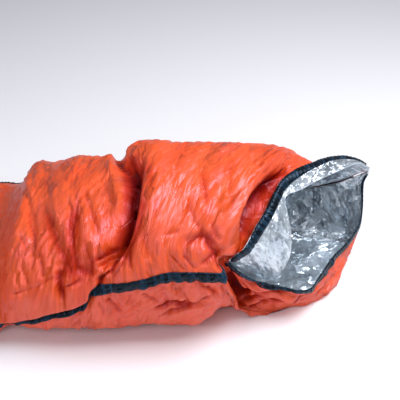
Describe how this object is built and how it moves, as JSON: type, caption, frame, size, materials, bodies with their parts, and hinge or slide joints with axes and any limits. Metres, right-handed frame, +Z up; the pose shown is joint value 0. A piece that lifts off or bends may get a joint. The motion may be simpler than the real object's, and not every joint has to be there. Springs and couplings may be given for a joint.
{
  "type": "emergency sleeping bag",
  "caption": "Emergency sleeping bag of thin metallised film with taped seams, lying opened on its back: flat foot, raised body with a gathered waist, and a wide mouth with a turned-out cuff.",
  "frame": {"origin": "middle of the plan box, on the floor", "axes": "+X from the foot to the mouth, +Z up, -Y towards the side where the mouth opens"},
  "size_m": [2.0939, 0.8864, 0.5079],
  "materials": {
    "film": "orange film, silver on the inner face",
    "tape": "dark glossy binding tape"
  },
  "bodies": {
    "root": {"upper_panel": "film", "lower_panel": "film", "near_side_tape": "tape", "far_side_tape": "tape", "upper_rim_tape": "tape", "lower_rim_tape": "tape", "foot_tape": "tape"}
  },
  "joints": []
}
